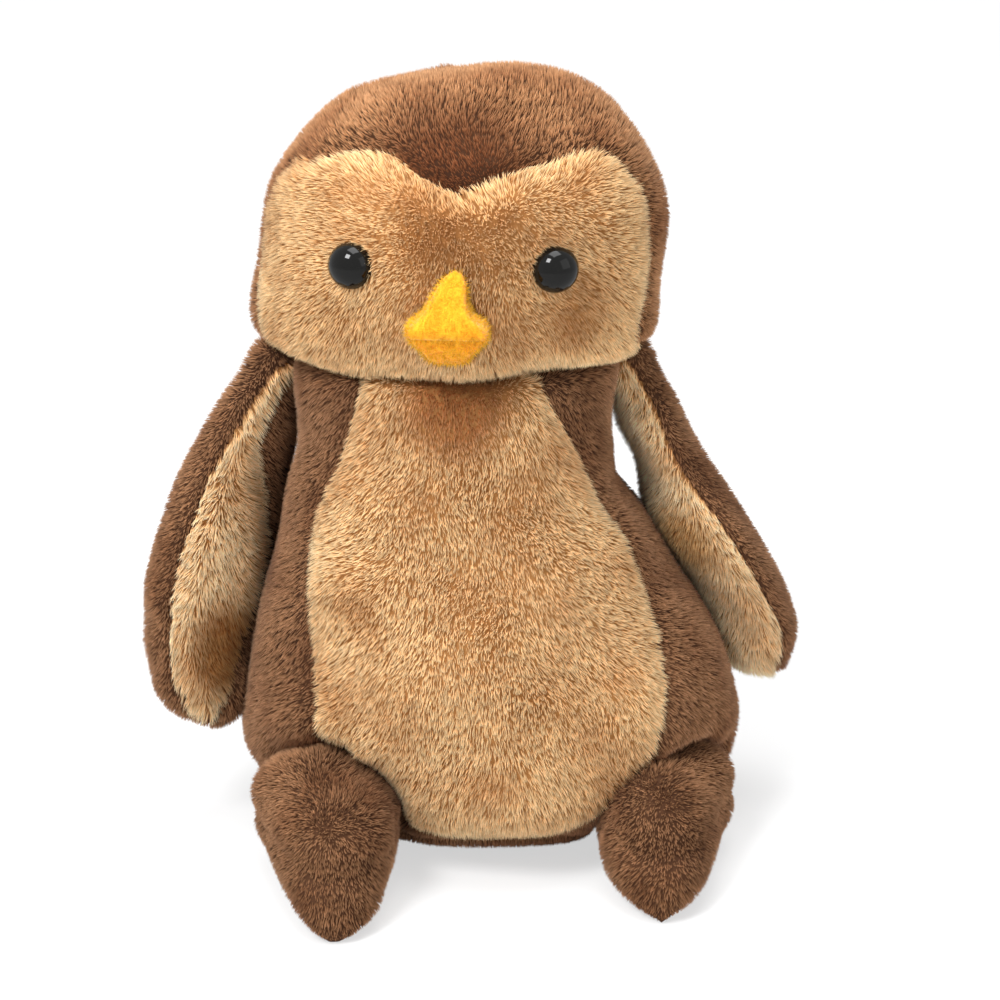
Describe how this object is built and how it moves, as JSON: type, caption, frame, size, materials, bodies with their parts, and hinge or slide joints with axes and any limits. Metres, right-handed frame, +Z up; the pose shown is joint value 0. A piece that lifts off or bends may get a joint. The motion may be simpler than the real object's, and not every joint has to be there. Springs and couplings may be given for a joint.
{
  "type": "plush owl",
  "caption": "Small sitting plush owl with a tan face and belly, brown hood and wings, felt beak and stubby legs.",
  "frame": {"origin": "on the floor, under the middle of the owl's box as it sits", "axes": "+Z up, the owl looks along -Y, and its wing on the viewer's right is on +X"},
  "size_m": [0.1352, 0.0962, 0.1595],
  "materials": {
    "brown_plush": "short pile plush, brown",
    "tan_plush": "short pile plush, tan",
    "beak_felt": "soft felt, orange yellow",
    "eye_plastic": "glossy black",
    "white_plastic": "moulded, matt",
    "fibre_filling": "loose polyester fibre",
    "bean_filling": "loose plastic beans"
  },
  "bodies": {
    "body": {"belly_panel": "tan_plush", "side_panel_left": "brown_plush", "side_panel_right": "brown_plush", "back_panel_left": "brown_plush", "back_panel_right": "brown_plush", "seat_panel": "brown_plush", "body_beans": "bean_filling", "body_stuffing": "fibre_filling"},
    "head": {"face_panel": "tan_plush", "hood_panel": "brown_plush", "head_back_left": "brown_plush", "head_back_right": "brown_plush", "head_stuffing": "fibre_filling", "eye_left": "eye_plastic", "eye_right": "eye_plastic", "eye_washer_left": "white_plastic", "eye_washer_right": "white_plastic", "beak_upper": "beak_felt", "beak_lower": "beak_felt"},
    "wing_left": {"wing_left_lining": "tan_plush", "wing_left_outer": "brown_plush", "wing_left_stuffing": "fibre_filling"},
    "wing_right": {"wing_right_lining": "tan_plush", "wing_right_outer": "brown_plush", "wing_right_stuffing": "fibre_filling"},
    "leg_left": {"leg_left_top": "brown_plush", "leg_left_sole": "brown_plush", "leg_left_beans": "bean_filling"},
    "leg_right": {"leg_right_top": "brown_plush", "leg_right_sole": "brown_plush", "leg_right_beans": "bean_filling"}
  },
  "joints": [
    {"name": "head_turn", "type": "hinge", "parent": "body", "child": "head", "pos_m": [-0.00221, 0.01032, 0.104], "axis": [0, 0, 1], "range_deg": [-25, 25]},
    {"name": "wing_left_lift", "type": "hinge", "parent": "body", "child": "wing_left", "pos_m": [-0.03951, 0.01431, 0.09849], "axis": [0, 1, 0], "range_deg": [-3, 80]},
    {"name": "wing_right_lift", "type": "hinge", "parent": "body", "child": "wing_right", "pos_m": [0.03074, 0.01431, 0.09849], "axis": [0, -1, 0], "range_deg": [-3, 80]},
    {"name": "leg_left_swing", "type": "hinge", "parent": "body", "child": "leg_left", "pos_m": [-0.02801, -0.01369, 0.0135], "axis": [-1, 0, 0], "range_deg": [-30, 35]},
    {"name": "leg_right_swing", "type": "hinge", "parent": "body", "child": "leg_right", "pos_m": [0.03624, -0.00488, 0.0135], "axis": [-1, 0, 0], "range_deg": [-30, 35]}
  ]
}
